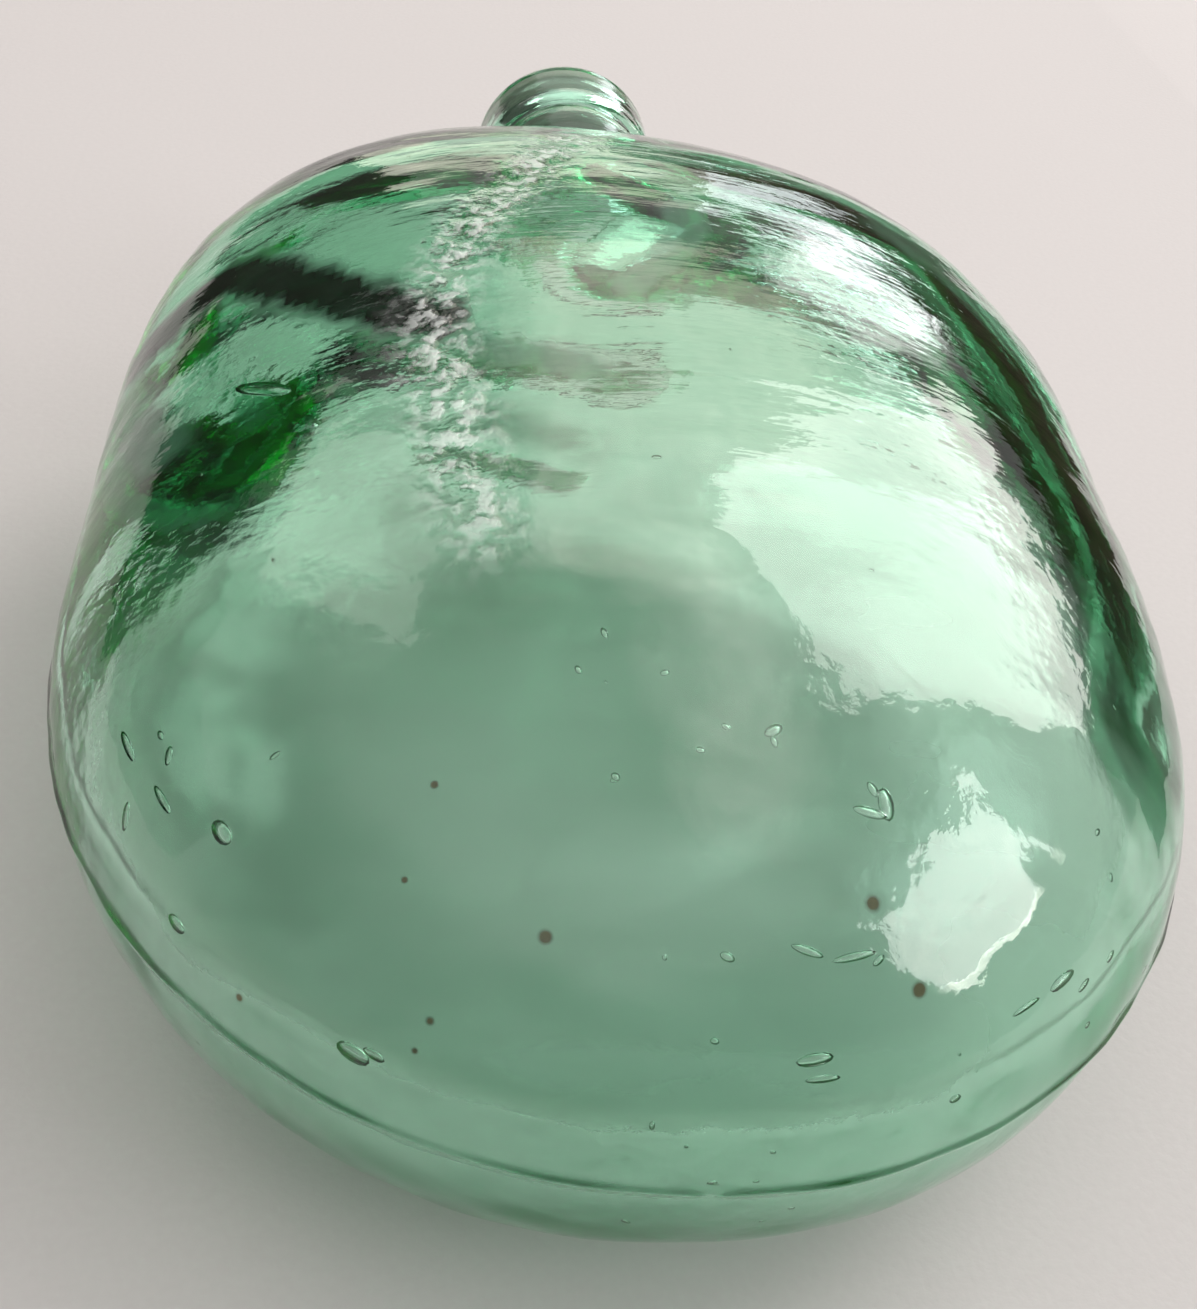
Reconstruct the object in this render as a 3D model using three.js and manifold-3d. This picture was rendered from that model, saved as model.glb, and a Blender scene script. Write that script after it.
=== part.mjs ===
// A flat field flask of thick blown glass, lying on its flattened back, with a rubber stopper in its mouth.
// Millimetres, +Z up. The neck points along +Y, and the round bottom end towards -Y.

import * as THREE from "three";
import { mergeVertices } from "three/addons/utils/BufferGeometryUtils.js";
import Module from "manifold-3d";

// Outside of the body. The front's height and the back's depth are counted from the plane of the mould seam.
const BODY_WIDTH = 130;
const BODY_LENGTH = 151;
const FRONT_HEIGHT = 41.8;
const BACK_DEPTH = 34;

// The back's curve is cut off by the flat that the flask lies on, with a soft edge round it.
const BACK_FLAT_DEPTH = 30.5;
const BACK_FLAT_EDGE = 1;

// How far from the bottom end the body is widest, its front highest and its back deepest
const WIDEST_AT = 72;
const FRONT_CROWN_AT = 93.5;
const BACK_DEEPEST_AT = 68;

// Fullness of the curves: 2 is an ellipse, and a higher power is squarer.
const SIDE_BOTTOM_FULLNESS = 2.08;
const SIDE_SHOULDER_FULLNESS = 3.4;
const FRONT_BOTTOM_FULLNESS = 1.92;
const FRONT_SHOULDER_FULLNESS = 1.63;
const BACK_BOTTOM_FULLNESS = 2.5;
const BACK_SHOULDER_FULLNESS = 2.3;
const FRONT_SECTION_FULLNESS = 1.87;
const BACK_SECTION_FULLNESS = 2.4;

// Thickness of the glass
const SIDE_WALL = 6;
const BOTTOM_WALL = 8;
const SHOULDER_WALL = 12;

// Neck and lip. The neck's axis lies above the seam plane, and the body starts to rise to it on the way there.
const NECK_RISE = 9.2;
const NECK_RISE_STARTS_AT = 85;
const NECK_DIAMETER = 25.5;
const NECK_LENGTH = 39.5;
const NECK_ROOT_FILLET = 5;
const LIP_DIAMETER = 29;
const LIP_LENGTH = 12.3;
const LIP_ROUND = 1.9;

// The bore narrows from the mouth to the inside of the shoulder.
const MOUTH_DIAMETER = 19.5;
const BORE_ROOT_DIAMETER = 16.5;
const BORE_ROOT_FILLET = 4;
const MOUTH_ROUND = 1;

// Ridge left by the mould, along both sides and round the bottom end
const SEAM_HEIGHT = 0.5;
const SEAM_HALF_WIDTH = 1.3;

// Stopper: the length inside the mouth and the length that stands proud of it
const STOPPER_DEPTH = 13;
const STOPPER_PROUD = 8;
const STOPPER_CLEARANCE = 0.3;
const STOPPER_EDGE = 1;

// Facets
const BODY_STATIONS = 28;
const CAVITY_STATIONS = 22;
const BODY_SIDES = 44;
const CAVITY_SIDES = 36;
const ARC_STEPS = 2;
const STOPPER_SIDES = 36;

// How far a cutting solid runs past the face that it opens
const CUT_PAST = 1;

const MOUTH_AT = BODY_LENGTH + NECK_LENGTH;
const CAVITY_END = BODY_LENGTH - SHOULDER_WALL;
const BORE_LENGTH = MOUTH_AT - CAVITY_END;

const wasm = await Module();
wasm.setup();

function boreRadius(along) {
  const share = (along - CAVITY_END) / BORE_LENGTH;
  return THREE.MathUtils.lerp(BORE_ROOT_DIAMETER, MOUTH_DIAMETER, share) / 2;
}

// Half of a long curve: nothing at the bottom end, its full size at the peak, the root's size at the neck.
function swell(along, length, size, peakAt, bottomFullness, shoulderFullness, rootSize) {
  if (along <= peakAt) {
    const toBottom = 1 - along / peakAt;
    return size * (1 - toBottom ** bottomFullness) ** (1 / bottomFullness);
  }
  const toNeck = Math.min((along - peakAt) / (length - peakAt), 1);
  return rootSize + (size - rootSize) * (1 - toNeck ** shoulderFullness) ** (1 / shoulderFullness);
}

// Cross-sections of the body from its bottom end to the root of the neck, crowded at both ends.
// depthIn is how far the surface lies inside the outer face of the glass.
function bodySections(stations, start, end, depthIn, rootRadius) {
  const length = end - start;
  const sections = [];
  for (let station = 1; station <= stations; station += 1) {
    const along = (length * (1 - Math.cos((Math.PI * station) / stations))) / 2;
    const y = start + along;
    const rise = THREE.MathUtils.smoothstep(y, NECK_RISE_STARTS_AT, end);
    sections.push({
      y,
      centre: NECK_RISE * rise,
      halfWidth: swell(
        along, length, BODY_WIDTH / 2 - depthIn, WIDEST_AT - start,
        SIDE_BOTTOM_FULLNESS, SIDE_SHOULDER_FULLNESS, rootRadius,
      ),
      top: swell(
        along, length, FRONT_HEIGHT - depthIn, FRONT_CROWN_AT - start,
        FRONT_BOTTOM_FULLNESS, FRONT_SHOULDER_FULLNESS, rootRadius + NECK_RISE,
      ),
      bottom: swell(
        along, length, BACK_DEPTH - depthIn, BACK_DEEPEST_AT - start,
        BACK_BOTTOM_FULLNESS, BACK_SHOULDER_FULLNESS, rootRadius - NECK_RISE,
      ),
      frontFullness: THREE.MathUtils.lerp(FRONT_SECTION_FULLNESS, 2, rise),
      backFullness: THREE.MathUtils.lerp(BACK_SECTION_FULLNESS, 2, rise),
      flat: BACK_FLAT_DEPTH - depthIn,
    });
  }
  return sections;
}

// Round cross-sections along the neck, one for each point (radius, distance along the flask) of a profile.
function neckSections(profile) {
  return profile.getPoints(ARC_STEPS).slice(1).map((point) => ({
    y: point.y,
    centre: NECK_RISE,
    halfWidth: point.x,
    top: NECK_RISE + point.x,
    bottom: point.x - NECK_RISE,
    frontFullness: 2,
    backFullness: 2,
    flat: BACK_FLAT_DEPTH,
  }));
}

// Depth below the seam plane after the flat has cut it off, with a rounded edge.
function flattened(depth, flat) {
  if (depth <= flat - BACK_FLAT_EDGE) {
    return depth;
  }
  const over = Math.min(depth - flat, BACK_FLAT_EDGE);
  return flat - (BACK_FLAT_EDGE - over) ** 2 / (4 * BACK_FLAT_EDGE);
}

function power(value, exponent) {
  return Math.sign(value) * Math.abs(value) ** exponent;
}

// Angles of a section's points. Those beside the seam are drawn in to the width of its ridge.
function sectionAngles(section, sides, seamHalfWidth) {
  const angles = [];
  const step = (2 * Math.PI) / sides;
  for (let side = 0; side < sides; side += 1) {
    const front = side < sides / 2;
    const height = front ? section.top - section.centre : section.bottom + section.centre;
    const fullness = front ? section.frontFullness : section.backFullness;
    const share = Math.min(seamHalfWidth / height, 1);
    const beside = Math.min(Math.asin(share ** (fullness / 2)), step);
    const fromSeam = side % (sides / 2);
    let angle = side * step;
    if (seamHalfWidth > 0 && fromSeam === 1) {
      angle += beside - step;
    }
    if (seamHalfWidth > 0 && fromSeam === sides / 2 - 1) {
      angle += step - beside;
    }
    angles.push(angle);
  }
  return angles;
}

function sectionPoint(section, angle) {
  const front = Math.sin(angle) >= 0;
  const fullness = front ? section.frontFullness : section.backFullness;
  const reach = front ? section.top - section.centre : section.bottom + section.centre;
  const x = section.halfWidth * power(Math.cos(angle), 2 / fullness);
  const z = section.centre + reach * power(Math.sin(angle), 2 / fullness);
  return new THREE.Vector3(x, section.y, z < 0 ? -flattened(-z, section.flat) : z);
}

// A closed skin from a point at the bottom end, over every section, to a flat face across the last one.
function loft(bottomEnd, sections, sides, seamHalfWidth) {
  const last = sections[sections.length - 1];
  const points = [new THREE.Vector3(0, bottomEnd, 0)];
  for (const section of sections) {
    for (const angle of sectionAngles(section, sides, seamHalfWidth)) {
      points.push(sectionPoint(section, angle));
    }
  }
  points.push(new THREE.Vector3(0, last.y, last.centre));
  const end = points.length - 1;
  const at = (ring, side) => 1 + ring * sides + (side % sides);
  const triangles = [];
  for (let side = 0; side < sides; side += 1) {
    triangles.push(0, at(0, side), at(0, side + 1));
    for (let ring = 0; ring < sections.length - 1; ring += 1) {
      triangles.push(at(ring, side), at(ring + 1, side), at(ring, side + 1));
      triangles.push(at(ring + 1, side), at(ring + 1, side + 1), at(ring, side + 1));
    }
    triangles.push(end, at(sections.length - 1, side + 1), at(sections.length - 1, side));
  }
  const geometry = new THREE.BufferGeometry().setFromPoints(points);
  geometry.setIndex(triangles);
  return geometry;
}

// Raises the mould's ridge: the points on the seam of the body move out along the surface's normal.
function raiseSeam(geometry, sides, rings) {
  geometry.computeVertexNormals();
  const position = geometry.attributes.position;
  const normal = geometry.attributes.normal;
  const onSeam = [0];
  for (let ring = 0; ring < rings; ring += 1) {
    onSeam.push(1 + ring * sides, 1 + ring * sides + sides / 2);
  }
  for (const index of onSeam) {
    const point = new THREE.Vector3().fromBufferAttribute(position, index);
    const outward = new THREE.Vector3().fromBufferAttribute(normal, index);
    point.addScaledVector(outward, SEAM_HEIGHT);
    position.setXYZ(index, point.x, point.y, point.z);
  }
}

function solid(geometry) {
  geometry.deleteAttribute("normal");
  geometry.deleteAttribute("uv");
  const merged = mergeVertices(geometry);
  const mesh = new wasm.Mesh({
    numProp: 3,
    vertProperties: new Float32Array(merged.attributes.position.array),
    triVerts: new Uint32Array(merged.index.array),
  });
  return new wasm.Manifold(mesh);
}

function fromSolid(manifold) {
  const mesh = manifold.getMesh();
  const geometry = new THREE.BufferGeometry();
  geometry.setAttribute("position", new THREE.BufferAttribute(mesh.vertProperties, mesh.numProp));
  geometry.setIndex(new THREE.BufferAttribute(mesh.triVerts, 1));
  geometry.computeVertexNormals();
  return geometry;
}

// Outside of the neck: a fillet out of the shoulder, the shaft, and a collar with rounded edges for a lip.
function neckProfile() {
  const neck = NECK_DIAMETER / 2;
  const lip = LIP_DIAMETER / 2;
  const root = neck + NECK_ROOT_FILLET;
  const lipStart = MOUTH_AT - LIP_LENGTH;
  const profile = new THREE.Path();
  profile.moveTo(root, BODY_LENGTH);
  profile.absarc(root, BODY_LENGTH + NECK_ROOT_FILLET, NECK_ROOT_FILLET, -Math.PI / 2, -Math.PI, true);
  profile.lineTo(neck, lipStart);
  profile.absarc(neck, lipStart + lip - neck, lip - neck, -Math.PI / 2, 0, false);
  profile.lineTo(lip, MOUTH_AT - LIP_ROUND);
  profile.absarc(lip - LIP_ROUND, MOUTH_AT - LIP_ROUND, LIP_ROUND, 0, Math.PI / 2, false);
  return profile;
}

// The bore, from inside the shoulder out through the mouth, whose inner edge is melted round.
function boreProfile() {
  const filletEnd = CAVITY_END + BORE_ROOT_FILLET;
  const root = boreRadius(filletEnd) + BORE_ROOT_FILLET;
  const mouth = boreRadius(MOUTH_AT);
  const profile = new THREE.Path();
  profile.moveTo(root, CAVITY_END);
  profile.absarc(root, filletEnd, BORE_ROOT_FILLET, -Math.PI / 2, -Math.PI, true);
  profile.lineTo(mouth, MOUTH_AT - MOUTH_ROUND);
  profile.absarc(mouth + MOUTH_ROUND, MOUTH_AT - MOUTH_ROUND, MOUTH_ROUND, Math.PI, Math.PI / 2, true);
  profile.lineTo(mouth + MOUTH_ROUND, MOUTH_AT + CUT_PAST);
  return profile;
}

function glassBody() {
  const neckRoot = NECK_DIAMETER / 2 + NECK_ROOT_FILLET;
  const belly = bodySections(BODY_STATIONS, 0, BODY_LENGTH, 0, neckRoot);
  const outside = loft(0, [...belly, ...neckSections(neckProfile())], BODY_SIDES, SEAM_HALF_WIDTH);
  raiseSeam(outside, BODY_SIDES, belly.length - 1);

  const boreRoot = boreRadius(CAVITY_END + BORE_ROOT_FILLET) + BORE_ROOT_FILLET;
  const hollow = bodySections(CAVITY_STATIONS, BOTTOM_WALL, CAVITY_END, SIDE_WALL, boreRoot);
  const inside = loft(BOTTOM_WALL, [...hollow, ...neckSections(boreProfile())], CAVITY_SIDES, 0);

  const glass = new THREE.MeshStandardMaterial({
    color: 0x9dc4ae, roughness: 0.08, metalness: 0, transparent: true, opacity: 0.45,
  });
  const mesh = new THREE.Mesh(fromSolid(solid(outside).subtract(solid(inside))), glass);
  mesh.name = "glass_body";
  return mesh;
}

// The bung follows the taper of the bore, a clearance inside it, and keeps that taper outside the mouth.
function rubberStopper() {
  const inner = MOUTH_AT - STOPPER_DEPTH;
  const outer = MOUTH_AT + STOPPER_PROUD;
  const innerRadius = boreRadius(inner) - STOPPER_CLEARANCE;
  const outerRadius = boreRadius(outer) - STOPPER_CLEARANCE;
  const profile = new THREE.Path();
  profile.moveTo(0, inner);
  profile.lineTo(innerRadius - STOPPER_EDGE, inner);
  profile.absarc(innerRadius - STOPPER_EDGE, inner + STOPPER_EDGE, STOPPER_EDGE, -Math.PI / 2, 0, false);
  profile.lineTo(outerRadius, outer - STOPPER_EDGE);
  profile.absarc(outerRadius - STOPPER_EDGE, outer - STOPPER_EDGE, STOPPER_EDGE, 0, Math.PI / 2, false);
  profile.lineTo(0, outer);

  const rubber = new THREE.MeshStandardMaterial({ color: 0xaaa59a, roughness: 0.8, metalness: 0 });
  const mesh = new THREE.Mesh(new THREE.LatheGeometry(profile.getPoints(ARC_STEPS), STOPPER_SIDES), rubber);
  mesh.name = "rubber_stopper";
  mesh.position.z = NECK_RISE;
  return mesh;
}

// The flask lies on its flat back, centred over the origin.
const flask = new THREE.Group();
flask.add(glassBody(), rubberStopper());
flask.position.set(0, -(MOUTH_AT + STOPPER_PROUD - SEAM_HEIGHT) / 2, BACK_FLAT_DEPTH);

export default flask;
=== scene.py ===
import math
import bpy
import numpy as np
from mathutils import Matrix, Vector, noise


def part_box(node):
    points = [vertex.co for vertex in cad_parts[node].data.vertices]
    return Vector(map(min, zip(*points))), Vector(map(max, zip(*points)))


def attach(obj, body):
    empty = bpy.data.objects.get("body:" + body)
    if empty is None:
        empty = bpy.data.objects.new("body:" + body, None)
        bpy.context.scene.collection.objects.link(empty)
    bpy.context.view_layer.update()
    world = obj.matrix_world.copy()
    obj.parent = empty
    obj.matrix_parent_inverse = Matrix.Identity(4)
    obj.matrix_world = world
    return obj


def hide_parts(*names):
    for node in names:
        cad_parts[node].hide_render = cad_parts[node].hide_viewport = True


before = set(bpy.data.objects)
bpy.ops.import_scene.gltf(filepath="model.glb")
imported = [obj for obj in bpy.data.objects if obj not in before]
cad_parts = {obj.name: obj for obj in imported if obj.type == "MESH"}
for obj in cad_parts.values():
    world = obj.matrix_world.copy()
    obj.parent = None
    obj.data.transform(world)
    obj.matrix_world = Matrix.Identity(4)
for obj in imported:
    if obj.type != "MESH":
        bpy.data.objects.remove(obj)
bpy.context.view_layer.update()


# Flask body
# One piece of thick green glass, blown into a mould of two halves, whose joint stands as a thin
# raised line round the sides. A chilled crease runs down the front, the glass gathered in folds on
# the inside, and small air bubbles are shut in the wall. The lip was finished by hand.
MM = 0.001
body_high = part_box("glass_body")[1]
SEAM_HEIGHT = 0.45 * MM
SEAM_HALF_WIDTH = 0.55 * MM
BODY_LENGTH = 151 * MM
FRONT_HEIGHT = 41.8 * MM
BACK_DEPTH = 34 * MM
BACK_FLAT_DEPTH = 30.5 * MM
BACK_FLAT_EDGE = 4 * MM
FRONT_CROWN_AT = 93.5 * MM
BACK_DEEPEST_AT = 68 * MM
FRONT_BOTTOM_FULLNESS = 1.92
FRONT_SHOULDER_FULLNESS = 1.63
BACK_BOTTOM_FULLNESS = 2.5
BACK_SHOULDER_FULLNESS = 2.3
FRONT_ROUND_FULLNESS = 1.87
BACK_ROUND_FULLNESS = 2.4
RIGHT_SIDE = {"size": 65 * MM, "widest": 76 * MM, "bottom": 2.14, "shoulder": 3.6}
LEFT_SIDE = {"size": 64.5 * MM, "widest": 68 * MM, "bottom": 2.03, "shoulder": 3.3}
SIDE_WALL = 6 * MM
BOTTOM_WALL = 8 * MM
SHOULDER_WALL = 12 * MM
NECK_RISE = 9.2 * MM
NECK_RISE_STARTS_AT = 85 * MM
NECK_DIAMETER = 25.5 * MM
NECK_LENGTH = 39.5 * MM
NECK_ROOT_FILLET = 5 * MM
LIP_DIAMETER = 29 * MM
LIP_LENGTH = 12.3 * MM
LIP_ROUND = 1.9 * MM
MOUTH_DIAMETER = 19.5 * MM
BORE_ROOT_DIAMETER = 16.5 * MM
BORE_ROOT_FILLET = 4 * MM
MOUTH_ROUND = 1 * MM
MOUTH_AT = BODY_LENGTH + NECK_LENGTH
CAVITY_END = BODY_LENGTH - SHOULDER_WALL
BOTTOM_END = Vector((0, body_high.y - MOUTH_AT, BACK_FLAT_DEPTH))

# The chilled crease on the front and the folds inside it, as (x, along) in millimetres.
CREASE = ((-6.4, 131), (-13.9, 112), (-18.1, 104), (-23, 91), (-25.4, 80), (-24.6, 72), (-23.2, 60),
          (-21.7, 53), (-20.4, 46))
CREASE_HALF_WIDTH = 3.6 * MM
FOLDS = (
    {"path": ((-53, 114.5), (-44, 114.5), (-38, 105), (-30, 95), (-23.3, 87), (-17.6, 79), (-8, 76)),
     "height": 1.5 * MM, "half_width": 8.5 * MM},
    {"path": ((1, 118), (5.5, 112), (5, 103.5), (1, 96), (-4, 91.5)),
     "height": 1.9 * MM, "half_width": 5 * MM},
    {"path": ((-24, 66), (-19.5, 64.5), (-12, 60)), "height": 1.2 * MM, "half_width": 3.6 * MM},
    {"path": ((-55, 106), (-53, 95), (-49.5, 83), (-46, 75)), "height": 3.2 * MM, "half_width": 8 * MM},
    {"path": ((49, 46), (54, 62), (55, 80), (53, 98), (47, 114)), "height": 3.4 * MM, "half_width": 8 * MM},
)

# Dark bands of painted shade on the inside of the glass, where the folds and the right rim look dark:
# path, half width, the share of that width that is darkest, and strength.
PAINTED_SHADE_BANDS = (
    {"path": ((-52, 111), (-44, 111), (-38, 102), (-30, 92), (-24, 85)),
     "half_width": 6 * MM, "core": 0.5, "strength": 1},
    {"path": ((-24, 85), (-17.6, 77), (-8, 74)), "half_width": 3.5 * MM, "core": 0.3, "strength": 0.5},
    {"path": ((-56, 105), (-53, 93), (-49.5, 81)), "half_width": 6 * MM, "core": 0.2, "strength": 0.55},
    {"path": ((5, 110), (5, 103), (2, 96), (-3, 90)), "half_width": 3 * MM, "core": 0.3, "strength": 0.6},
    {"path": ((38, 124), (50, 114), (56, 100), (58, 85), (57, 66), (54, 52)),
     "half_width": 9 * MM, "core": 0, "strength": 0.75},
)

# Where the glass stands out fuller than the plain form: the point (x, along, up), how far and how wide.
SWELLINGS = (
    {"at": (57.5, 102, 18), "height": 1.5 * MM, "reach": 19 * MM},
    {"at": (-28, 140, 29.5), "height": 0.7 * MM, "reach": 18 * MM},
)

# Air bubbles shut in the front wall: x, along, length and width in millimetres, and the turn of the
# long side from +X in degrees.
BUBBLES = (
    (-42.4, 76.6, 8.5, 2.2, -31), (-52.5, 39.3, 4, 1, -73), (-48.5, 36, 1.9, 0.9, 61),
    (-49.6, 37.5, 1.2, 0.7, -61), (-52.5, 34, 2.8, 1, 48), (-49, 32.1, 3.6, 0.9, -69),
    (-43, 27.4, 2.8, 1.8, -62), (-39, 31.3, 1.2, 0.5, 27), (-46.9, 23.5, 2.4, 1.2, -65),
    (-31, 9.9, 3.4, 1.6, -48), (-29.1, 9.5, 2.2, 0.9, -47), (4.7, 28.5, 2, 1.1, 34),
    (4.5, 27, 1.2, 0.7, -73), (13, 23.8, 1.6, 0.9, -56), (13.5, 22.3, 3.4, 1, -12),
    (14.7, 23.6, 3.1, 1.6, -77), (-0.2, 11.2, 1.4, 0.8, -29), (7.1, 11.6, 3.2, 0.8, -22),
    (11.5, 11.3, 4.3, 0.8, 15), (13.5, 11.7, 1.4, 0.7, 51), (7.8, 5.1, 3.5, 1.2, 13),
    (8.4, 4.3, 3.3, 0.7, 5), (22.1, 5.3, 1.3, 0.8, 31), (33.6, 15, 3.7, 1.2, 41),
    (29.5, 12.1, 3.7, 0.6, 36), (36.3, 15.8, 1.9, 0.7, 60), (40.3, 18.9, 1.6, 0.7, 67),
    (37.8, 13.9, 0.9, 0.6, 50), (-12.7, 33.8, 0.9, 0.6, -67), (-10, 37.1, 1.2, 0.6, -75),
    (-9.7, 24.5, 0.9, 0.7, -41), (-2.3, 26.4, 0.9, 0.6, -14), (0, 28.2, 0.9, 0.6, -34),
    (-3.9, 56.4, 1, 0.5, 0), (38.7, 27.1, 1, 0.6, 53), (40.1, 23.7, 0.9, 0.6, -63),
)
FINE_BUBBLES = 70
BUBBLE_RINGS = 7
BUBBLE_COLUMNS = 12

# Brown specks of unmelted batch in the skin: x, along and radius in millimetres.
SPECKS = ((16.8, 10.7, 0.8), (12.4, 15.5, 0.9), (-24.5, 9.6, 0.6), (-25.8, 8.6, 0.5), (-40.5, 16, 0.4),
          (-15.2, 13.4, 0.7), (-24.9, 25.1, 0.4), (-27.2, 19.1, 0.35))

COLUMNS = 256
BODY_RINGS = 180
CAVITY_RINGS = 104
ARC_RINGS = 8
SHAFT_RINGS = 6


def crowded_columns():
    """Angles round the body, closer together at the seam on the sides and at the crease on the front."""
    fine = np.linspace(0, 2 * np.pi, 7201)
    to_side = np.minimum(np.abs(np.sin(fine / 2)), np.abs(np.cos(fine / 2))) * 2
    to_crease = np.abs(fine - 1.85)
    crowd = 1 + 5 * np.exp(-(to_side / 0.05) ** 2) + 3 * np.exp(-(to_crease / 0.28) ** 2)
    run = np.concatenate(([0], np.cumsum((crowd[1:] + crowd[:-1]) / 2)))
    even = np.linspace(0, run[-1], COLUMNS, endpoint=False)
    return np.interp(even, run, fine)


ANGLES = crowded_columns()


def bore_radius(along):
    share = (along - CAVITY_END) / (MOUTH_AT - CAVITY_END)
    return (BORE_ROOT_DIAMETER + (MOUTH_DIAMETER - BORE_ROOT_DIAMETER) * share) / 2


def smooth_step(value, low, high):
    share = np.clip((value - low) / (high - low), 0, 1)
    return share * share * (3 - 2 * share)


def swell(along, length, size, peak_at, bottom_fullness, shoulder_fullness, root_size):
    """Half size of the body along its axis: rounded at the bottom end, drawn in to the neck root."""
    before = np.clip(1 - along / peak_at, 0, 1)
    after = np.clip((along - peak_at) / (length - peak_at), 0, 1)
    bottom = size * (1 - before ** bottom_fullness) ** (1 / bottom_fullness)
    drawn_in = (1 - after ** shoulder_fullness) ** (1 / shoulder_fullness)
    return np.where(along <= peak_at, bottom, root_size + (size - root_size) * drawn_in)


def power(value, fullness):
    return np.sign(value) * np.abs(value) ** (2 / fullness)


def flattened(depth, flat):
    """Depth of the back, levelled off where it would go past the flat it lies on."""
    over = np.clip(depth - flat, -BACK_FLAT_EDGE, BACK_FLAT_EDGE)
    eased = flat - (BACK_FLAT_EDGE - over) ** 2 / (4 * BACK_FLAT_EDGE)
    return np.where(depth <= flat - BACK_FLAT_EDGE, depth, eased)


def belly_grid(rings, start, end, wall, root_radius):
    """Rings of points from the bottom end to the neck root, on the skin or on the cavity."""
    turn = np.linspace(0, np.pi, rings + 1)[1:, None]
    length = end - start
    along = length * (1 - np.cos(turn)) / 2
    y = start + along
    rise = smooth_step(y, NECK_RISE_STARTS_AT, end)
    centre = NECK_RISE * rise
    right, left = (swell(along, length, side["size"] - wall, side["widest"] - start,
                         side["bottom"], side["shoulder"], root_radius) for side in (RIGHT_SIDE, LEFT_SIDE))
    top = swell(along, length, FRONT_HEIGHT - wall, FRONT_CROWN_AT - start,
                FRONT_BOTTOM_FULLNESS, FRONT_SHOULDER_FULLNESS, root_radius + NECK_RISE)
    bottom = swell(along, length, BACK_DEPTH - wall, BACK_DEEPEST_AT - start,
                   BACK_BOTTOM_FULLNESS, BACK_SHOULDER_FULLNESS, root_radius - NECK_RISE)
    across, up = np.cos(ANGLES)[None], np.sin(ANGLES)[None]
    fullness = np.where(up >= 0, FRONT_ROUND_FULLNESS, BACK_ROUND_FULLNESS)
    fullness = fullness + (2 - fullness) * rise
    x = np.where(across >= 0, right, left) * power(across, fullness)
    z = centre + np.where(up >= 0, top - centre, bottom + centre) * power(up, fullness)
    z = np.where(z < 0, -flattened(-z, BACK_FLAT_DEPTH - wall), z)
    return np.stack([x, y + 0 * x, z], axis=-1)


def turned_grid(profile):
    """Rings of points round the neck's axis, from (radius, along) pairs."""
    radius, along = np.array(profile).T[:, :, None]
    x = radius * np.cos(ANGLES)
    return np.stack([x, along + 0 * x, NECK_RISE + radius * np.sin(ANGLES)], axis=-1)


def arc(centre_radius, centre_along, radius, begin, finish, steps=ARC_RINGS):
    turns = np.radians(np.linspace(begin, finish, steps + 1))
    return [(centre_radius + radius * math.cos(t), centre_along + radius * math.sin(t)) for t in turns]


def neck_profile():
    shaft = NECK_DIAMETER / 2
    lip = LIP_DIAMETER / 2
    roll = lip - shaft
    root = arc(shaft + NECK_ROOT_FILLET, BODY_LENGTH + NECK_ROOT_FILLET, NECK_ROOT_FILLET, 270, 180)
    lip_at = MOUTH_AT - LIP_LENGTH
    straight = [(shaft, a) for a in np.linspace(root[-1][1], lip_at, SHAFT_RINGS + 2)[1:-1]]
    collar = arc(shaft, lip_at + roll, roll, 270, 360)
    face = arc(lip - LIP_ROUND, MOUTH_AT - LIP_ROUND, LIP_ROUND, 0, 90)
    between = [(lip, a) for a in np.linspace(collar[-1][1], face[0][1], SHAFT_RINGS + 2)[1:-1]]
    return root[1:] + straight + collar + between + face


def bore_profile():
    root_end = CAVITY_END + BORE_ROOT_FILLET
    root_centre = bore_radius(root_end) + BORE_ROOT_FILLET
    root = arc(root_centre, root_end, BORE_ROOT_FILLET, 270, 180)
    rounding_at = MOUTH_AT - MOUTH_ROUND
    taper = [(bore_radius(a), a) for a in np.linspace(root_end, rounding_at, SHAFT_RINGS * 3)[1:-1]]
    mouth = arc(bore_radius(rounding_at) + MOUTH_ROUND, rounding_at, MOUTH_ROUND, 180, 90)
    return root[1:] + taper + mouth


def grid_normals(grid):
    """Unit normals of a closed ring grid, pointing away from its axis."""
    along = np.gradient(grid, axis=0)
    around = np.roll(grid, -1, axis=1) - np.roll(grid, 1, axis=1)
    normals = np.cross(along, around)
    return normals / np.linalg.norm(normals, axis=-1, keepdims=True)


def ripple(grid, wave_length, seed):
    """Smooth noise from -1 to 1 over the points, the same in every run."""
    shift = Vector((seed * 7.3, seed * 3.1, seed * 5.7))
    flat = grid.reshape(-1, 3) / np.array(wave_length)
    values = [noise.noise(Vector(point) + shift) for point in flat.tolist()]
    return np.array(values).reshape(grid.shape[:-1])


def front_points(grid, spots):
    """The points on the front of a grid that lie over these (x, along) spots, in millimetres."""
    flat = grid.reshape(-1, 3)
    flat = flat[flat[:, 2] > 0]
    return np.array([flat[np.argmin(np.hypot(flat[:, 0] - x * MM, flat[:, 1] - y * MM))] for x, y in spots])


def distance_to_path(grid, path):
    """Distance of each point of a grid from a line of straight runs."""
    nearest = np.full(grid.shape[:-1], np.inf)
    for begin, finish in zip(path[:-1], path[1:]):
        run = finish - begin
        share = np.clip((grid - begin) @ run / (run @ run), 0, 1)
        nearest = np.minimum(nearest, np.linalg.norm(grid - begin - share[..., None] * run, axis=-1))
    return nearest


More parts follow.
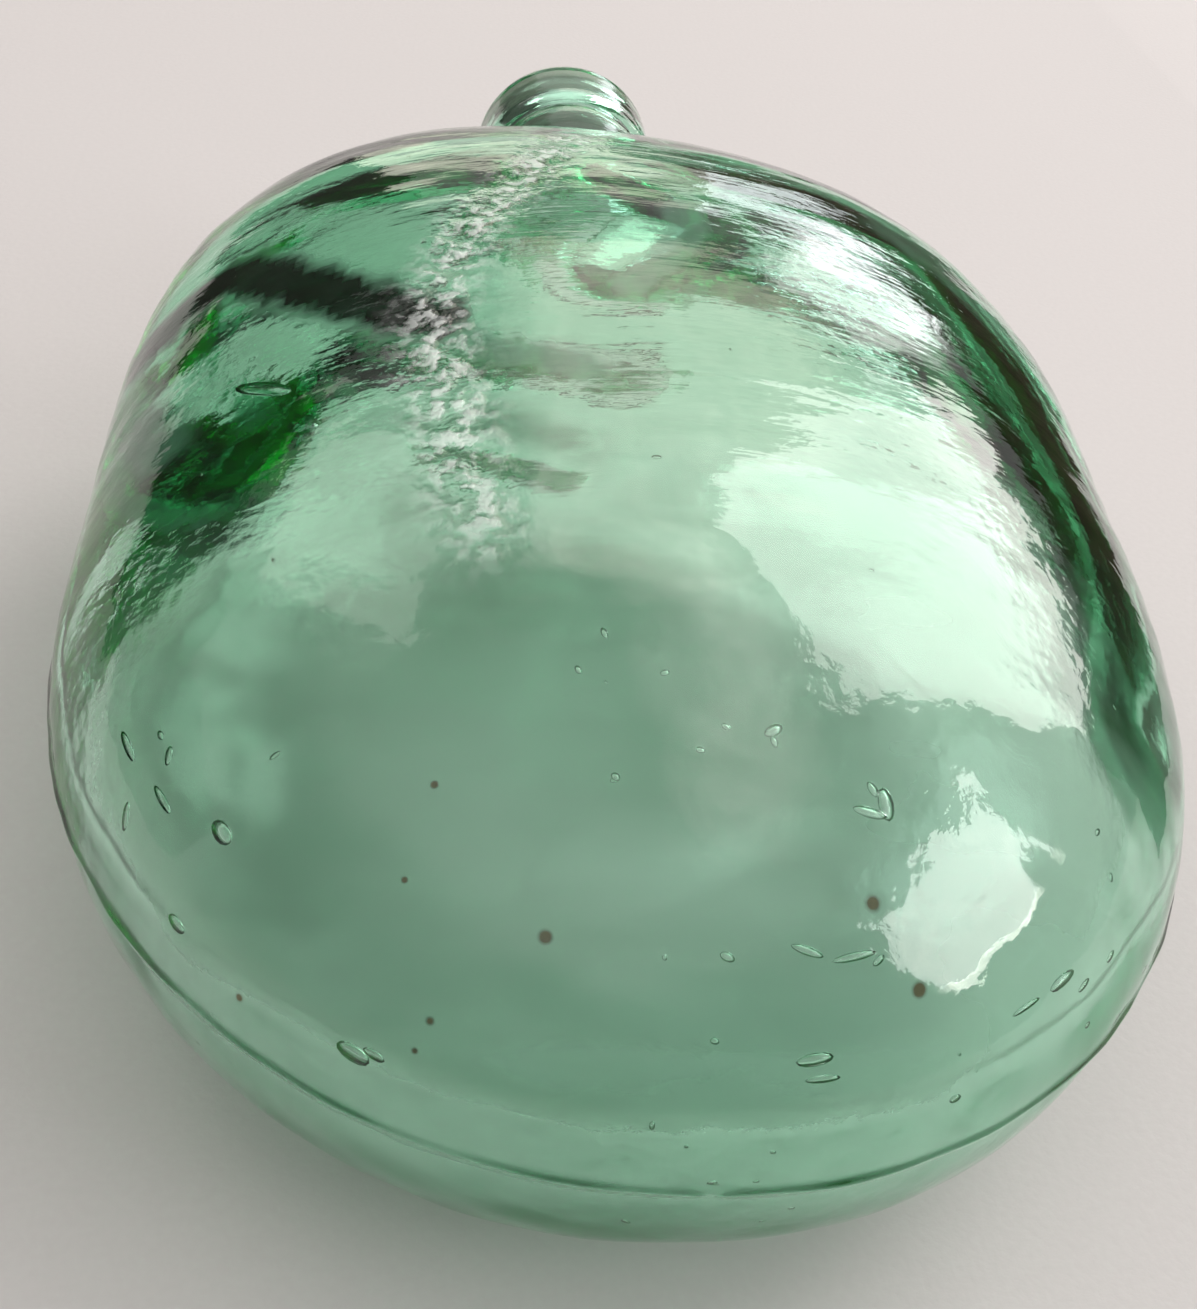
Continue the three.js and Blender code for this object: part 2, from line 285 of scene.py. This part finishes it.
def crease_band(skin):
    """1 along the chilled crease, fading to 0 beside it."""
    wander = 0.7 * MM * ripple(skin, 6 * MM, 5)
    away = distance_to_path(skin, front_points(skin, CREASE)) + wander
    return np.exp(-(away / CREASE_HALF_WIDTH) ** 2) * smooth_step(skin[..., 1], 38 * MM, 56 * MM)


def mould_marks(skin, band):
    """How far each point of the skin stands proud of, or sinks below, the plain form."""
    y, z = skin[..., 1], skin[..., 2]
    on_belly = 1 - smooth_step(y, BODY_LENGTH - 12 * MM, BODY_LENGTH)
    sunk = 0.28 * (ripple(skin, 34 * MM, 1) - 0.7) + 0.1 * (ripple(skin, 13 * MM, 2) - 0.7)
    whittled = 0.15 * (ripple(skin, (9 * MM, 4 * MM, 5 * MM), 3) - 0.6)

    line = np.exp(-(z / SEAM_HALF_WIDTH) ** 2) * on_belly
    uneven = np.clip(0.75 + 0.5 * ripple(skin, 9 * MM, 4), 0.25, 1)
    side_seam = SEAM_HEIGHT * line * uneven

    crinkle = 0.45 * ripple(skin, 2.8 * MM, 6) + 0.2 * ripple(skin, 5.5 * MM, 7) - 0.3
    fuller = 0
    for swelling in SWELLINGS:
        away = np.linalg.norm(skin - np.array(swelling["at"]) * MM, axis=-1)
        fuller = fuller + swelling["height"] * np.exp(-(away / swelling["reach"]) ** 2)
    return MM * (on_belly * (sunk + whittled) + band * crinkle) + side_seam + fuller * on_belly


def cavity_marks(cavity):
    """The cavity was shaped by breath alone: the wall is uneven, with folds where the glass gathered."""
    y = cavity[..., 1]
    on_belly = 1 - smooth_step(y, CAVITY_END - 14 * MM, CAVITY_END)
    uneven = 0.9 * ripple(cavity, 38 * MM, 8) + 0.6 * ripple(cavity, (28 * MM, 11 * MM, 20 * MM), 9) - 0.2
    thinner = 1.5 * np.exp(-((y - 36 * MM) / (26 * MM)) ** 2)
    thicker = 1.5 * smooth_step(y, 60 * MM, 100 * MM)
    uneven = uneven + thinner - thicker
    gathered = 0
    for fold in FOLDS:
        away = distance_to_path(cavity, front_points(cavity, fold["path"]))
        gathered = gathered + fold["height"] * np.exp(-(away / fold["half_width"]) ** 2)
    return MM * on_belly * uneven - gathered


def painted_shade_share(cavity):
    """How strongly each point of the cavity is darkened by painted shade, from 0 to 1."""
    ragged = 1.4 * MM * ripple(cavity, (2 * MM, 6 * MM, 4 * MM), 11)
    painted_shade = np.zeros(cavity.shape[:-1])
    for fold in PAINTED_SHADE_BANDS:
        away = distance_to_path(cavity, front_points(cavity, fold["path"])) + ragged
        near = 1 - smooth_step(away, fold["core"] * fold["half_width"], fold["half_width"])
        painted_shade = np.maximum(painted_shade, fold["strength"] * near)
    return painted_shade


def ring_faces(rings, first):
    """Four-sided faces between neighbouring rings of a grid whose first point has that number."""
    ring, column = np.meshgrid(np.arange(rings - 1), np.arange(COLUMNS), indexing="ij")
    after = (column + 1) % COLUMNS
    here, there = first + ring * COLUMNS, first + (ring + 1) * COLUMNS
    return np.stack([here + column, there + column, there + after, here + after], axis=-1).reshape(-1, 4)


def fan_faces(centre, first):
    column = np.arange(COLUMNS)
    return np.stack([np.full(COLUMNS, centre), first + column, first + (column + 1) % COLUMNS], axis=-1)


def bubble_shell():
    """Points and faces of a round void. Its faces look into the void, away from the glass."""
    lifts = np.linspace(-np.pi / 2, np.pi / 2, BUBBLE_RINGS + 1)[1:-1]
    turns = np.linspace(0, 2 * np.pi, BUBBLE_COLUMNS, endpoint=False)
    around = [(math.cos(lift) * math.cos(turn), math.cos(lift) * math.sin(turn), math.sin(lift))
              for lift in lifts for turn in turns]
    low, high = len(around), len(around) + 1
    faces = []
    for column in range(BUBBLE_COLUMNS):
        after = (column + 1) % BUBBLE_COLUMNS
        faces.append((low, column, after))
        faces.append((high, low - BUBBLE_COLUMNS + after, low - BUBBLE_COLUMNS + column))
        for first in range(0, low - BUBBLE_COLUMNS, BUBBLE_COLUMNS):
            upper = first + BUBBLE_COLUMNS
            faces.append((first + column, upper + column, upper + after, first + after))
    return np.array(around + [(0, 0, -1), (0, 0, 1)]), faces


def shape_bubble(shell, surface, normal, turn, length, width, depth):
    """Points of a void drawn out along the surface and lying so deep under it."""
    heading = np.array((math.cos(turn), math.sin(turn), 0))
    along = heading - normal * (heading @ normal)
    along = along / np.linalg.norm(along)
    sides = np.stack([along * length / 2, np.cross(normal, along) * width / 2, normal * width * 0.3])
    return surface - normal * depth + shell @ sides


skin = np.concatenate([
    belly_grid(BODY_RINGS, 0, BODY_LENGTH, 0, NECK_DIAMETER / 2 + NECK_ROOT_FILLET),
    turned_grid(neck_profile()),
])
cavity = np.concatenate([
    belly_grid(CAVITY_RINGS, BOTTOM_WALL, CAVITY_END, SIDE_WALL,
               bore_radius(CAVITY_END + BORE_ROOT_FILLET) + BORE_ROOT_FILLET),
    turned_grid(bore_profile()),
])
skin_normals = grid_normals(skin)
creased = crease_band(skin)
skin = skin + skin_normals * mould_marks(skin, creased)[..., None]
cavity = cavity + grid_normals(cavity) * cavity_marks(cavity)[..., None]

skin_tip = skin[0].mean(axis=0)
cavity_tip = cavity[0].mean(axis=0)
points = np.concatenate([skin.reshape(-1, 3), cavity.reshape(-1, 3), [skin_tip], [cavity_tip]])
cavity_first = len(skin) * COLUMNS
tip_first = cavity_first + len(cavity) * COLUMNS
last_skin = cavity_first - COLUMNS
last_cavity = tip_first - COLUMNS
column = np.arange(COLUMNS)
after = (column + 1) % COLUMNS
rim = np.stack([last_skin + column, last_cavity + column, last_cavity + after, last_skin + after], axis=-1)
four_sided = np.concatenate([
    ring_faces(len(skin), 0),
    ring_faces(len(cavity), cavity_first)[:, ::-1],
    rim,
])
three_sided = np.concatenate([fan_faces(tip_first, 0), fan_faces(tip_first + 1, cavity_first)[:, ::-1]])

shell, shell_faces = bubble_shell()
flat_skin, flat_normals = skin.reshape(-1, 3), skin_normals.reshape(-1, 3)
front = np.flatnonzero(flat_skin[:, 2] > 0)
bubbles = []
for x, y, length, width, turn in BUBBLES:
    over = front[np.argmin(np.hypot(flat_skin[front, 0] - x * MM, flat_skin[front, 1] - y * MM))]
    bubbles.append(shape_bubble(shell, flat_skin[over], flat_normals[over], math.radians(turn),
                                length * MM, width * MM, (0.9 + width / 2) * MM))
chance = np.random.default_rng(5)
for over in chance.integers(0, BODY_RINGS * COLUMNS * 9 // 10, FINE_BUBBLES):
    width = chance.uniform(0.25, 0.6) * MM
    bubbles.append(shape_bubble(shell, flat_skin[over], flat_normals[over], chance.uniform(0, np.pi),
                                width * chance.uniform(1, 2.4), width, chance.uniform(1, 3.5) * MM))
bubble_first = len(points)
points = np.concatenate([points] + bubbles)
bubble_faces = [tuple(bubble_first + number * len(shell) + corner for corner in face)
                for number in range(len(bubbles)) for face in shell_faces]

body_mesh = bpy.data.meshes.new("flask_body")
body_mesh.from_pydata((points + np.array(BOTTOM_END)).tolist(), [],
                      four_sided.tolist() + three_sided.tolist() + bubble_faces)
body_mesh.shade_smooth()
residue = 1 - smooth_step(cavity[..., 1], 42 * MM, 72 * MM)
inside = np.zeros(len(points))
inside[cavity_first:tip_first] = residue.reshape(-1)
inside[tip_first + 1] = 1
crinkled = np.concatenate([creased.reshape(-1), np.zeros(len(points) - cavity_first)])
# Painted shade: the dark bands on the inside of the glass, kept as a point attribute.
painted_shade = np.zeros(len(points))
painted_shade[cavity_first:tip_first] = painted_shade_share(cavity).reshape(-1)
for name, values in (("inside", inside), ("crinkled", crinkled), ("painted_shade", painted_shade)):
    body_mesh.attributes.new(name, "FLOAT", "POINT").data.foreach_set("value", values.astype(np.float32))
flask_body = bpy.data.objects.new("flask_body", body_mesh)
bpy.context.scene.collection.objects.link(flask_body)


def new_material(name):
    material = bpy.data.materials.new(name)
    material.use_nodes = True
    return material, material.node_tree.nodes, material.node_tree.links


green_glass, nodes, links = new_material("green_glass")
glass = nodes["Principled BSDF"]
CLEAR_GLASS = (0.97, 1.0, 0.98, 1)
SPECK_BROWN = (0.16, 0.05, 0.02, 1)
# Colour of the painted shade on the inside of the glass.
PAINTED_SHADE_GREEN = (0.006, 0.014, 0.006, 1)
glass.inputs["IOR"].default_value = 1.52

tint = nodes.new("ShaderNodeVolumeAbsorption")
tint.inputs["Color"].default_value = (0.04, 0.77, 0.43, 1)
tint.inputs["Density"].default_value = 50
links.new(tint.outputs["Volume"], nodes["Material Output"].inputs["Volume"])


def node(kind, **settings):
    made = nodes.new("ShaderNode" + kind)
    for name, value in settings.items():
        setattr(made, name, value)
    return made


def grain(coordinates, stretch, scale, detail=2.0, kind="TexNoise"):
    """A noise pattern over the surface, stretched by these factors along X, Y and Z."""
    stretched = node("Mapping")
    stretched.inputs["Scale"].default_value = stretch
    links.new(coordinates, stretched.inputs["Vector"])
    pattern = node(kind)
    pattern.inputs["Scale"].default_value = scale
    if "Detail" in pattern.inputs:
        pattern.inputs["Detail"].default_value = detail
    links.new(stretched.outputs["Vector"], pattern.inputs["Vector"])
    return pattern.outputs["Fac" if "Fac" in pattern.outputs else "Distance"]


def sums(operation, first, second):
    made = node("Math", operation=operation)
    for socket, value in zip(made.inputs, (first, second)):
        if isinstance(value, (int, float)):
            socket.default_value = value
        else:
            links.new(value, socket)
    return made.outputs["Value"]


def ranged(value, low, high, to_low, to_high):
    made = node("MapRange")
    for name, number in (("From Min", low), ("From Max", high), ("To Min", to_low), ("To Max", to_high)):
        made.inputs[name].default_value = number
    links.new(value, made.inputs["Value"])
    return made.outputs["Result"]


def bump(height, distance, under=None):
    made = node("Bump")
    made.inputs["Distance"].default_value = distance
    links.new(height, made.inputs["Height"])
    if under is not None:
        links.new(under, made.inputs["Normal"])
    return made.outputs["Normal"]


def blend(share, first, second):
    made = node("MixRGB")
    for name, value in (("Fac", share), ("Color1", first), ("Color2", second)):
        if isinstance(value, tuple):
            made.inputs[name].default_value = value
        else:
            links.new(value, made.inputs[name])
    return made.outputs["Color"]


place = node("TexCoord").outputs["Object"]
within = node("Attribute", attribute_name="inside").outputs["Fac"]
in_crease = node("Attribute", attribute_name="crinkled").outputs["Fac"]
# Painted shade on the inside of the glass, read from the points.
painted_shade_here = node("Attribute", attribute_name="painted_shade").outputs["Fac"]

smudges = grain(place, (1, 1, 1), 45, 4)
hazed = sums("ADD", ranged(smudges, 0.4, 0.7, 0.01, 0.05), sums("MULTIPLY", within, 0.15))
hazed = sums("ADD", hazed, sums("MULTIPLY", in_crease, 0.2))
links.new(hazed, glass.inputs["Roughness"])

patches = ranged(grain(place, (1, 1, 1), 40, 1), 0.4, 0.6, 0.25, 1)
peel = bump(sums("MULTIPLY", grain(place, (1, 1, 1), 420, 1), patches), 0.085 * MM)
pitted = bump(sums("MULTIPLY", grain(place, (1, 1, 1), 1200, 2), patches), 0.026 * MM, peel)
on_body = node("SeparateXYZ")
links.new(place, on_body.inputs["Vector"])
upper = ranged(on_body.outputs["Y"], BOTTOM_END.y + 42 * MM, BOTTOM_END.y + 78 * MM, 0.1, 1)
drawn = sums("MULTIPLY", grain(place, (0.12, 1, 0.5), 900, 2), upper)
streaks = bump(drawn, 0.045 * MM, pitted)
cells = sums("MULTIPLY", grain(place, (1, 1, 1), 620, 2), in_crease)
links.new(bump(cells, 0.6 * MM, streaks), glass.inputs["Normal"])

speck_places = front_points(skin, [(x, y) for x, y, radius in SPECKS]) + np.array(BOTTOM_END)
specked = 0.0
for centre, (x, y, radius) in zip(speck_places, SPECKS):
    away = node("VectorMath", operation="DISTANCE")
    links.new(place, away.inputs[0])
    away.inputs[1].default_value = centre
    wander = 0.3 * radius * MM
    ragged = sums("ADD", away.outputs["Value"], ranged(smudges, 0.3, 0.7, -wander, wander))
    specked = sums("MAXIMUM", specked, ranged(ragged, 0.5 * radius * MM, radius * MM, 1, 0))

# Painted shade: the dark bands turn the glass dark green and let less light through.
painted_shade_colour = blend(painted_shade_here, CLEAR_GLASS, PAINTED_SHADE_GREEN)
links.new(blend(specked, painted_shade_colour, SPECK_BROWN), glass.inputs["Base Color"])
clouded = sums("MULTIPLY", within, ranged(grain(place, (0.6, 1.5, 1), 30, 4), 0.38, 0.66, 0.02, 0.3))
frosted = sums("MULTIPLY", in_crease, ranged(grain(place, (1, 1, 1), 620, 2), 0.46, 0.6, 0, 0.5))
veil_and_painted_shade = sums("MAXIMUM", painted_shade_here, sums("MAXIMUM", clouded, frosted))
links.new(ranged(veil_and_painted_shade, 0, 1, 1, 0), glass.inputs["Transmission Weight"])

body_mesh.materials.append(green_glass)
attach(flask_body, "flask")
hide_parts("glass_body")


# Rubber stopper
# A tapered bung of pale grey rubber, moulded in two halves and pressed into the mouth by hand. Its
# dished top carries dust, and the side is darker where it goes into the glass.
stopper_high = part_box("rubber_stopper")[1]
STOPPER_DEPTH = 13 * MM
STOPPER_PROUD = 8 * MM
STOPPER_CLEARANCE = 0.42 * MM
STOPPER_EDGE = 1 * MM
STOPPER_DISH = 0.5 * MM
PARTING_HEIGHT = 0.1 * MM


def stopper_profile():
    inner, outer = MOUTH_AT - STOPPER_DEPTH, MOUTH_AT + STOPPER_PROUD
    inner_radius = bore_radius(inner) - STOPPER_CLEARANCE - STOPPER_EDGE
    outer_radius = bore_radius(outer) - STOPPER_CLEARANCE - STOPPER_EDGE
    foot = [(r, inner) for r in np.linspace(0.2 * inner_radius, inner_radius, 4)[:-1]]
    foot = foot + arc(inner_radius, inner + STOPPER_EDGE, STOPPER_EDGE, 270, 360)
    head = arc(outer_radius, outer - STOPPER_EDGE, STOPPER_EDGE, 0, 90)
    side = [tuple(pair) for pair in np.linspace(foot[-1], head[0], 22)[1:-1]]
    dish = [(r, outer - STOPPER_DISH * (1 - (r / outer_radius) ** 4))
            for r in np.linspace(outer_radius, 0, 9)[1:-1]]
    return foot + side + head + dish


bung = turned_grid(stopper_profile())
parted = PARTING_HEIGHT * np.exp(-(np.sin(ANGLES) * LIP_DIAMETER / 2 / (0.25 * MM)) ** 2)
worn = 0.06 * MM * (ripple(bung, 4 * MM, 21) - 1)
bung_normals = grid_normals(bung)
on_side = 1 - np.abs(bung_normals[..., 1])
bung = bung + bung_normals * (parted * on_side + worn)[..., None]
bung_points = np.concatenate([bung.reshape(-1, 3), [bung[0].mean(axis=0)], [bung[-1].mean(axis=0)]])
bung_faces = ring_faces(len(bung), 0).tolist() + fan_faces(bung.size // 3, 0).tolist()
bung_faces = bung_faces + fan_faces(bung.size // 3 + 1, bung.size // 3 - COLUMNS)[:, ::-1].tolist()
stopper_mesh = bpy.data.meshes.new("bung")
stopper_mesh.from_pydata((bung_points + np.array(BOTTOM_END)).tolist(), [], bung_faces)
stopper_mesh.shade_smooth()
stopper = bpy.data.objects.new("bung", stopper_mesh)
bpy.context.scene.collection.objects.link(stopper)

grey_rubber, nodes, links = new_material("grey_rubber")
rubber = nodes["Principled BSDF"]
place = node("TexCoord").outputs["Object"]
on_bung = node("SeparateXYZ")
links.new(place, on_bung.inputs["Vector"])
clouds = grain(place, (1, 1, 1), 260, 5)
clean = blend(ranged(clouds, 0.35, 0.68, 0, 1), (0.34, 0.32, 0.285, 1), (0.44, 0.42, 0.37, 1))
# The side turns darker where it goes into the glass.
at_mouth = ranged(on_bung.outputs["Y"], body_high.y + 0.5 * MM, body_high.y - 1.5 * MM, 0, 0.55)
darker_at_mouth = blend(at_mouth, clean, (0.17, 0.155, 0.13, 1))
on_top = ranged(on_bung.outputs["Y"], stopper_high.y - 1.2 * MM, stopper_high.y - 0.4 * MM, 0, 0.6)
dusty = sums("MULTIPLY", on_top, ranged(grain(place, (1, 1, 1), 900, 4), 0.4, 0.62, 0, 1))
links.new(blend(dusty, darker_at_mouth, (0.6, 0.575, 0.52, 1)), rubber.inputs["Base Color"])
links.new(ranged(clouds, 0.3, 0.7, 0.62, 0.86), rubber.inputs["Roughness"])
pits = bump(ranged(grain(place, (1, 1, 1), 1500, 2, "TexVoronoi"), 0.1, 0.3, 0, 1), 0.05 * MM)
links.new(bump(clouds, 0.12 * MM, pits), rubber.inputs["Normal"])
stopper_mesh.materials.append(grey_rubber)
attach(stopper, "stopper")
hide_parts("rubber_stopper")


# Floor
# A smooth pale sill with a fine grain, on which the flask lies.
FLOOR_SIZE = 3.0
floor_mesh = bpy.data.meshes.new("floor")
half = FLOOR_SIZE / 2
floor_corners = [(-half, -half, 0), (half, -half, 0), (half, half, 0), (-half, half, 0)]
floor_mesh.from_pydata(floor_corners, [], [(0, 1, 2, 3)])
floor = bpy.data.objects.new("floor", floor_mesh)
bpy.context.scene.collection.objects.link(floor)

sill_paint, nodes, links = new_material("sill_paint")
paint = nodes["Principled BSDF"]
spot = node("TexCoord").outputs["Object"]
PALE_PAINT = (0.55, 0.515, 0.51, 1)
mottle = grain(spot, (1, 1, 1), 900, 3)
even_paint = blend(ranged(mottle, 0.3, 0.7, 0, 0.12), PALE_PAINT, (0.42, 0.395, 0.39, 1))
links.new(even_paint, paint.inputs["Base Color"])
paint.inputs["Roughness"].default_value = 0.75
paint.inputs["Specular IOR Level"].default_value = 0.1
links.new(bump(mottle, 0.06 * MM), paint.inputs["Normal"])
floor_mesh.materials.append(sill_paint)


# Light
# Soft daylight through the panes of a window on the right, in a room with a pale background. Cloudy
# panels show only as reflections on the skin, and two dark boards only in and on the glass.
PANE_DISTANCE = 3.0


def panel_place(azimuths, elevations, distance):
    """Place, lie, width and height of a panel that fills these angles as seen from the flask.

    The angles are in degrees, and azimuth runs from +Y to +X."""
    turn, lift = math.radians(sum(azimuths) / 2), math.radians(sum(elevations) / 2)
    towards = Vector((math.sin(turn) * math.cos(lift), math.cos(turn) * math.cos(lift), math.sin(lift)))
    width = 2 * distance * math.cos(lift) * math.tan(math.radians(azimuths[1] - azimuths[0]) / 2)
    height = 2 * distance * math.tan(math.radians(elevations[1] - elevations[0]) / 2)
    return towards * distance, towards.to_track_quat("Z", "Y").to_euler(), width, height


def pane(name, azimuths, elevations, brightness, colour):
    """An even pane of daylight."""
    place, lie, width, height = panel_place(azimuths, elevations, PANE_DISTANCE)
    lamp = bpy.data.lights.new(name, "AREA")
    lamp.shape = "RECTANGLE"
    lamp.size, lamp.size_y = width, height
    lamp.energy = 4 * width * height * brightness
    lamp.color = colour
    holder = bpy.data.objects.new(name, lamp)
    holder.location, holder.rotation_euler = place, lie
    holder.visible_camera = False
    bpy.context.scene.collection.objects.link(holder)


def glint(name, azimuths, elevations, brightness, colour, softness):
    """A soft-edged, cloudy brightness that only shows as a reflection on the skin of the glass."""
    global nodes, links
    place, lie, width, height = panel_place(azimuths, elevations, 0.97 * PANE_DISTANCE)
    across, up = width / 2, height / 2
    mesh = bpy.data.meshes.new(name)
    corners = [(-across, -up, 0), (across, -up, 0), (across, up, 0), (-across, up, 0)]
    mesh.from_pydata(corners, [], [(0, 1, 2, 3)])
    material, nodes, links = new_material(name)
    spot = node("TexCoord").outputs["Object"]
    parts = node("SeparateXYZ")
    links.new(spot, parts.inputs["Vector"])
    strength = ranged(grain(spot, (1, 1, 1), 5, 3), 0.3, 0.7, 0.7 * brightness, 1.3 * brightness)
    for axis, reach in (("X", across), ("Y", up)):
        from_middle = sums("ABSOLUTE", parts.outputs[axis], 0)
        strength = sums("MULTIPLY", strength, ranged(from_middle, reach * (1 - softness), reach, 1, 0))
    glow, clear, both = node("Emission"), node("BsdfTransparent"), node("AddShader")
    glow.inputs["Color"].default_value = colour
    links.new(strength, glow.inputs["Strength"])
    links.new(glow.outputs["Emission"], both.inputs[0])
    links.new(clear.outputs["BSDF"], both.inputs[1])
    links.new(both.outputs["Shader"], nodes["Material Output"].inputs["Surface"])
    mesh.materials.append(material)
    panel = bpy.data.objects.new(name, mesh)
    panel.location, panel.rotation_euler = place, lie
    for sight in ("visible_camera", "visible_diffuse", "visible_transmission", "visible_shadow"):
        setattr(panel, sight, False)
    bpy.context.scene.collection.objects.link(panel)


pane("far_pane", (38, 80), (15, 62), 3.3, (1.0, 0.98, 0.95))
pane("near_pane", (96, 127), (18, 41), 3.6, (0.95, 0.98, 1.0))
pane("low_sky", (14, 37), (-3, 12), 1.6, (0.9, 0.96, 1.0))
pane("left_pane", (-62, -32), (34, 60), 1.1, (1.0, 0.97, 0.9))
glint("far_pane_glint", (36, 82), (13, 64), 0.9, (1.0, 0.8, 0.74, 1), 0.25)
glint("far_pane_low", (22, 40), (6, 28), 3, (1.0, 1.0, 0.98, 1), 0.35)
glint("near_pane_glint", (95, 128), (17, 42), 2.8, (1.0, 0.83, 0.77, 1), 0.2)
glint("near_pane_sill", (96, 127), (16.2, 18.6), 10, (1.0, 0.97, 0.9, 1), 0.3)
glint("wall_glow", (-17, 16), (-1, 13), 1.2, (0.98, 1.0, 0.78, 1), 0.4)
glint("sky_glow", (-14, 44), (26, 58), 2.3, (1.0, 0.9, 0.78, 1), 0.4)
glint("high_glow", (-28, 46), (51, 80), 2.6, (1.0, 0.92, 0.83, 1), 0.45)
glint("ceiling_glow", (25, 150), (60, 89), 2.3, (1.0, 0.94, 0.89, 1), 0.7)

ROOM_SIDE = (0.06, 0.057, 0.052, 1)
WINDOW_SIDE = (0.1, 0.094, 0.083, 1)
CEILING = (1.15, 1.13, 1.1, 1)
BACKGROUND = (0.48, 0.465, 0.455, 1)
world = bpy.data.worlds.new("room")
bpy.context.scene.world = world
world.use_nodes = True
nodes, links = world.node_tree.nodes, world.node_tree.links
direction = node("SeparateXYZ")
links.new(node("TexCoord").outputs["Generated"], direction.inputs["Vector"])
towards_window = sums("ADD", direction.outputs["Y"], sums("MULTIPLY", direction.outputs["X"], 0.5))
walls = blend(ranged(towards_window, -0.5, 0.4, 0, 1), ROOM_SIDE, WINDOW_SIDE)
room = blend(ranged(direction.outputs["Z"], 0.42, 0.75, 0, 1), walls, CEILING)
seen_by = node("LightPath")
in_glass = sums("MAXIMUM", seen_by.outputs["Is Glossy Ray"], seen_by.outputs["Is Transmission Ray"])
looked_at = sums("MAXIMUM", seen_by.outputs["Is Camera Ray"], in_glass)
low = ranged(direction.outputs["Z"], 0.42, 0.75, 1, 0)
links.new(blend(sums("MULTIPLY", looked_at, low), room, BACKGROUND), nodes["Background"].inputs["Color"])


def dark_board(name, corners, colour):
    """A dark board beside the flask that shows only in the glass."""
    mesh = bpy.data.meshes.new(name)
    mesh.from_pydata(corners, [], [(0, 1, 2, 3)])
    material, nodes, links = new_material(name)
    nodes["Principled BSDF"].inputs["Base Color"].default_value = colour
    nodes["Principled BSDF"].inputs["Roughness"].default_value = 0.7
    mesh.materials.append(material)
    board = bpy.data.objects.new(name, mesh)
    for sight in ("visible_camera", "visible_diffuse", "visible_shadow"):
        setattr(board, sight, False)
    bpy.context.scene.collection.objects.link(board)


dark_board("room_side", [(-2.4, -0.3, 0), (-0.3, 1.5, 0), (-0.3, 1.5, 0.8), (-2.4, -0.3, 0.8)],
           (0.03, 0.028, 0.024, 1))
dark_board("window_rail", [(0.2, -0.03, 0), (0.2, 1.4, 0), (0.2, 1.4, 0.09), (0.2, -0.03, 0.09)],
           (0.10, 0.07, 0.05, 1))

scene = bpy.context.scene
scene.view_settings.view_transform = "Standard"
scene.cycles.max_bounces = 20
scene.cycles.transmission_bounces = 20
scene.cycles.glossy_bounces = 12


# Camera
# Held close above the round bottom end, looking down along the flask to the neck.
CAMERA_PLACE = BOTTOM_END + Vector((-32.5, -67.2, 119.3)) * MM
LOOK_RIGHT = math.radians(12.08)
LOOK_DOWN = math.radians(40.55)
TILT = math.radians(10.47)
LENS = 42.91
ahead = Vector((math.sin(LOOK_RIGHT) * math.cos(LOOK_DOWN), math.cos(LOOK_RIGHT) * math.cos(LOOK_DOWN),
                -math.sin(LOOK_DOWN)))
level = Vector((math.cos(LOOK_RIGHT), -math.sin(LOOK_RIGHT), 0))
upward = level.cross(ahead)
right = level * math.cos(TILT) + upward * math.sin(TILT)
up = upward * math.cos(TILT) - level * math.sin(TILT)
camera = bpy.data.objects.new("camera", bpy.data.cameras.new("camera"))
camera.data.lens = LENS
camera.data.clip_start = 1 * MM
camera.matrix_world = Matrix.Translation(CAMERA_PLACE) @ Matrix((right, up, -ahead)).transposed().to_4x4()
scene.collection.objects.link(camera)
scene.camera = camera
